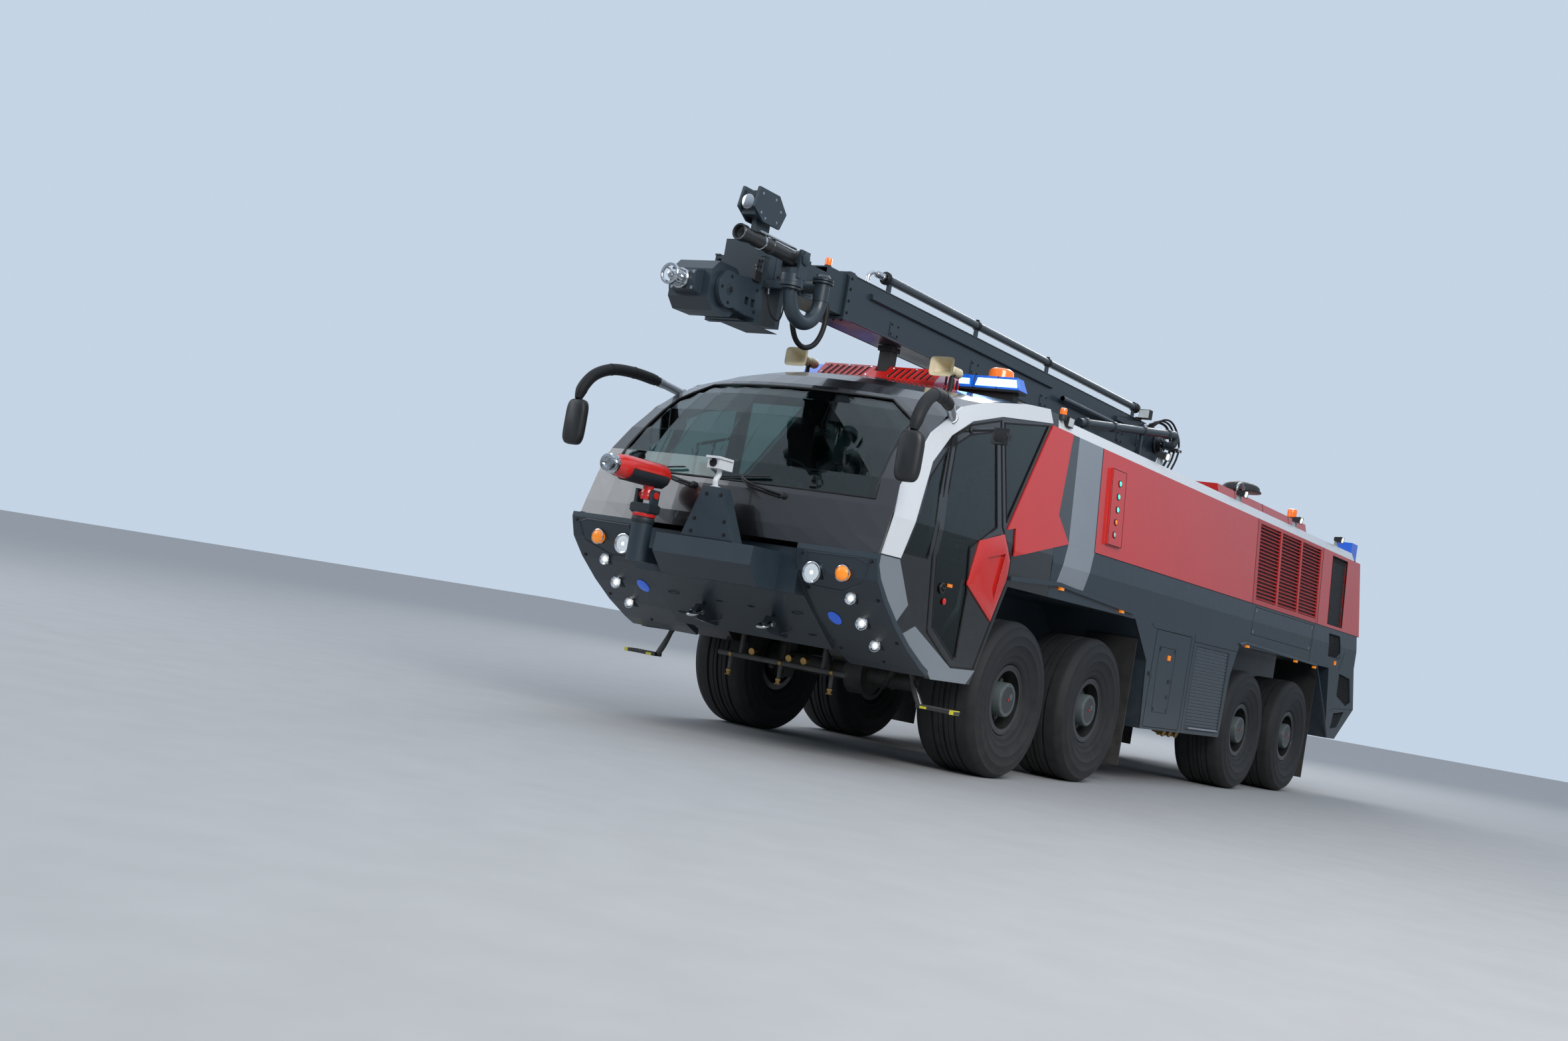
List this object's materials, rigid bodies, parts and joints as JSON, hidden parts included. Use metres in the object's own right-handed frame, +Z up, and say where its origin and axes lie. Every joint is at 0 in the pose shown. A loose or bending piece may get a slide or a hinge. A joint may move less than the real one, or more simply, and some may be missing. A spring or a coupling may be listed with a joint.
{
  "type": "airport fire truck",
  "caption": "All-wheel crash tender with a glazed cab, turning wheels, steering, outward-swinging doors, front monitor and a folding telescopic boom.",
  "frame": {"origin": "middle of the bounding box at ground level, where the tyres stand", "axes": "-Y forward along the truck, +X to its left, +Z up"},
  "size_m": [3.48, 14.3, 4.1529],
  "materials": {
    "black": "glossy black enamel",
    "blue": "clear blue lens",
    "chassis": "dark grey paint",
    "chrome": "polished",
    "dark": "dark blue-grey enamel",
    "glass": "tinted, clear",
    "plastic": "matt",
    "red": "glossy signal red enamel",
    "rim": "black enamel",
    "silver": "silver-grey metallic enamel",
    "steel": "bright steel",
    "tyre": "worn black",
    "white": "glossy white enamel"
  },
  "bodies": {
    "chassis": {"axles": "chassis", "frame": "chassis", "driveline": "chassis", "cab_shell": "black", "cab_glass": "glass", "white_trim": "white", "silver_trim": "silver", "cab_interior": "plastic", "bumper": "dark", "lamps": "chrome", "mirrors": "plastic", "roof_signals": "blue", "tank_body": "dark", "red_panels": "red", "roof_gear": "chassis", "lower_body": "dark", "lockers": "dark", "louvre": "red"},
    "wheel_1l": {"tyre_1l": "tyre", "wheel_1l": "rim"},
    "knuckle_1l": {"knuckle_1l": "chassis"},
    "wheel_1r": {"tyre_1r": "tyre", "wheel_1r": "rim"},
    "knuckle_1r": {"knuckle_1r": "chassis"},
    "wheel_2l": {"tyre_2l": "tyre", "wheel_2l": "rim"},
    "knuckle_2l": {"knuckle_2l": "chassis"},
    "wheel_2r": {"tyre_2r": "tyre", "wheel_2r": "rim"},
    "knuckle_2r": {"knuckle_2r": "chassis"},
    "wheel_3l": {"tyre_3l": "tyre", "wheel_3l": "rim"},
    "wheel_3r": {"tyre_3r": "tyre", "wheel_3r": "rim"},
    "wheel_4l": {"tyre_4l": "tyre", "wheel_4l": "rim"},
    "wheel_4r": {"tyre_4r": "tyre", "wheel_4r": "rim"},
    "arm_l": {"door_arm_l": "chassis"},
    "door_l": {"door_l": "black", "door_glass_l": "glass", "door_cap_l": "red"},
    "locker_door_l": {"locker_door_l": "dark"},
    "arm_r": {"door_arm_r": "chassis"},
    "door_r": {"door_r": "black", "door_glass_r": "glass", "door_cap_r": "red"},
    "locker_door_r": {"locker_door_r": "dark"},
    "monitor_arm": {"monitor_arm": "dark"},
    "monitor_barrel": {"monitor_barrel": "red"},
    "turntable": {"turntable": "dark"},
    "lower_boom": {"lower_boom": "dark"},
    "elbow": {"elbow": "chassis"},
    "upper_boom": {"upper_boom": "dark"},
    "boom_slide": {"boom_slide": "dark"},
    "nozzle_base": {"nozzle_base": "dark"},
    "nozzle": {"nozzle": "chassis"},
    "piercer": {"piercer": "dark"},
    "lift_barrel": {"lift_barrel": "chassis"},
    "lift_rod": {"lift_rod": "steel"}
  },
  "joints": [
    {"name": "steer_1l", "type": "hinge", "parent": "chassis", "child": "knuckle_1l", "pos_m": [0.93, -3.388, 0.685], "axis": [0, 0, 1], "range_deg": [-30, 30]},
    {"name": "spin_1l", "type": "hinge", "parent": "knuckle_1l", "child": "wheel_1l", "pos_m": [1.19, -3.388, 0.685], "axis": [1, 0, 0], "continuous": true},
    {"name": "steer_1r", "type": "hinge", "parent": "chassis", "child": "knuckle_1r", "pos_m": [-0.93, -3.388, 0.685], "axis": [0, 0, 1], "range_deg": [-30, 30]},
    {"name": "spin_1r", "type": "hinge", "parent": "knuckle_1r", "child": "wheel_1r", "pos_m": [-1.19, -3.388, 0.685], "axis": [1, 0, 0], "continuous": true},
    {"name": "steer_2l", "type": "hinge", "parent": "chassis", "child": "knuckle_2l", "pos_m": [0.93, -1.638, 0.685], "axis": [0, 0, 1], "range_deg": [-21, 21]},
    {"name": "spin_2l", "type": "hinge", "parent": "knuckle_2l", "child": "wheel_2l", "pos_m": [1.19, -1.638, 0.685], "axis": [1, 0, 0], "continuous": true},
    {"name": "steer_2r", "type": "hinge", "parent": "chassis", "child": "knuckle_2r", "pos_m": [-0.93, -1.638, 0.685], "axis": [0, 0, 1], "range_deg": [-21, 21]},
    {"name": "spin_2r", "type": "hinge", "parent": "knuckle_2r", "child": "wheel_2r", "pos_m": [-1.19, -1.638, 0.685], "axis": [1, 0, 0], "continuous": true},
    {"name": "spin_3l", "type": "hinge", "parent": "chassis", "child": "wheel_3l", "pos_m": [1.19, 2.722, 0.685], "axis": [1, 0, 0], "continuous": true},
    {"name": "spin_3r", "type": "hinge", "parent": "chassis", "child": "wheel_3r", "pos_m": [-1.19, 2.722, 0.685], "axis": [1, 0, 0], "continuous": true},
    {"name": "spin_4l", "type": "hinge", "parent": "chassis", "child": "wheel_4l", "pos_m": [1.19, 4.492, 0.685], "axis": [1, 0, 0], "continuous": true},
    {"name": "spin_4r", "type": "hinge", "parent": "chassis", "child": "wheel_4r", "pos_m": [-1.19, 4.492, 0.685], "axis": [1, 0, 0], "continuous": true},
    {"name": "door_arm_l_swing", "type": "hinge", "parent": "chassis", "child": "arm_l", "pos_m": [1.27, -3.873, 1.78], "axis": [0, 0, 1], "range_deg": [0, 95]},
    {"name": "door_l_turn", "type": "hinge", "parent": "arm_l", "child": "door_l", "pos_m": [1.27, -4.433, 1.82], "axis": [0, 0, 1], "range_deg": [-95, 0]},
    {"name": "locker_door_l_hinge", "type": "hinge", "parent": "chassis", "child": "locker_door_l", "pos_m": [1.455, -0.307, 1.1], "axis": [0, 0, -1], "range_deg": [0, 110]},
    {"name": "door_arm_r_swing", "type": "hinge", "parent": "chassis", "child": "arm_r", "pos_m": [-1.27, -3.873, 1.78], "axis": [0, 0, -1], "range_deg": [0, 95]},
    {"name": "door_r_turn", "type": "hinge", "parent": "arm_r", "child": "door_r", "pos_m": [-1.27, -4.433, 1.82], "axis": [0, 0, -1], "range_deg": [-95, 0]},
    {"name": "locker_door_r_hinge", "type": "hinge", "parent": "chassis", "child": "locker_door_r", "pos_m": [-1.455, -0.307, 1.1], "axis": [0, 0, 1], "range_deg": [0, 110]},
    {"name": "monitor_yaw", "type": "hinge", "parent": "chassis", "child": "monitor_arm", "pos_m": [-0.53, -6.308, 1.6], "axis": [0, 0, 1], "range_deg": [-60, 60]},
    {"name": "monitor_pitch", "type": "hinge", "parent": "monitor_arm", "child": "monitor_barrel", "pos_m": [-0.53, -6.308, 1.83], "axis": [-1, 0, 0], "range_deg": [-10, 45]},
    {"name": "turret_yaw", "type": "hinge", "parent": "chassis", "child": "turntable", "pos_m": [0, -1.988, 3.15], "axis": [0, 0, 1], "range_deg": [-30, 30]},
    {"name": "boom_lift", "type": "hinge", "parent": "turntable", "child": "lower_boom", "pos_m": [0, -1.988, 3.44], "axis": [1, 0, 0], "range_deg": [0, 75]},
    {"name": "elbow_level", "type": "hinge", "parent": "lower_boom", "child": "elbow", "pos_m": [0, 1.862, 3.8], "axis": [1, 0, 0], "range_deg": [-75, 0]},
    {"name": "upper_pitch", "type": "hinge", "parent": "elbow", "child": "upper_boom", "pos_m": [0, 1.862, 3.8], "axis": [-1, 0, 0], "range_deg": [0, 60]},
    {"name": "boom_extend", "type": "slide", "parent": "upper_boom", "child": "boom_slide", "axis": [0, -1, 0], "range_m": [0, 3.5]},
    {"name": "nozzle_yaw", "type": "hinge", "parent": "boom_slide", "child": "nozzle_base", "pos_m": [0.45, -6.248, 3.6], "axis": [0, 0, 1], "range_deg": [-45, 90]},
    {"name": "nozzle_pitch", "type": "hinge", "parent": "nozzle_base", "child": "nozzle", "pos_m": [0.45, -6.248, 3.79], "axis": [-1, 0, 0], "range_deg": [-8, 60]},
    {"name": "piercer_pitch", "type": "hinge", "parent": "boom_slide", "child": "piercer", "pos_m": [0, -6.718, 3.42], "axis": [1, 0, 0], "range_deg": [0, 90]},
    {"name": "cylinder_tilt", "type": "hinge", "parent": "turntable", "child": "lift_barrel", "pos_m": [0, -1.838, 3.26], "axis": [1, 0, 0], "range_deg": [0, 77.35]},
    {"name": "cylinder_stroke", "type": "slide", "parent": "lift_barrel", "child": "lift_rod", "axis": [0, 1, 0.004], "range_m": [0, 0.2868]}
  ],
  "couplings": [
    {"joint": "steer_1r", "follows": "steer_1l", "ratio": 1},
    {"joint": "steer_2l", "follows": "steer_1l", "ratio": 0.7},
    {"joint": "steer_2r", "follows": "steer_1l", "ratio": 0.7},
    {"joint": "door_l_turn", "follows": "door_arm_l_swing", "ratio": -1},
    {"joint": "door_r_turn", "follows": "door_arm_r_swing", "ratio": -1},
    {"joint": "elbow_level", "follows": "boom_lift", "ratio": -1},
    {"joint": "cylinder_tilt", "follows": "boom_lift", "ratio": 1.0307},
    {"joint": "cylinder_stroke", "follows": "boom_lift", "m_per_rad": 0.2187}
  ]
}
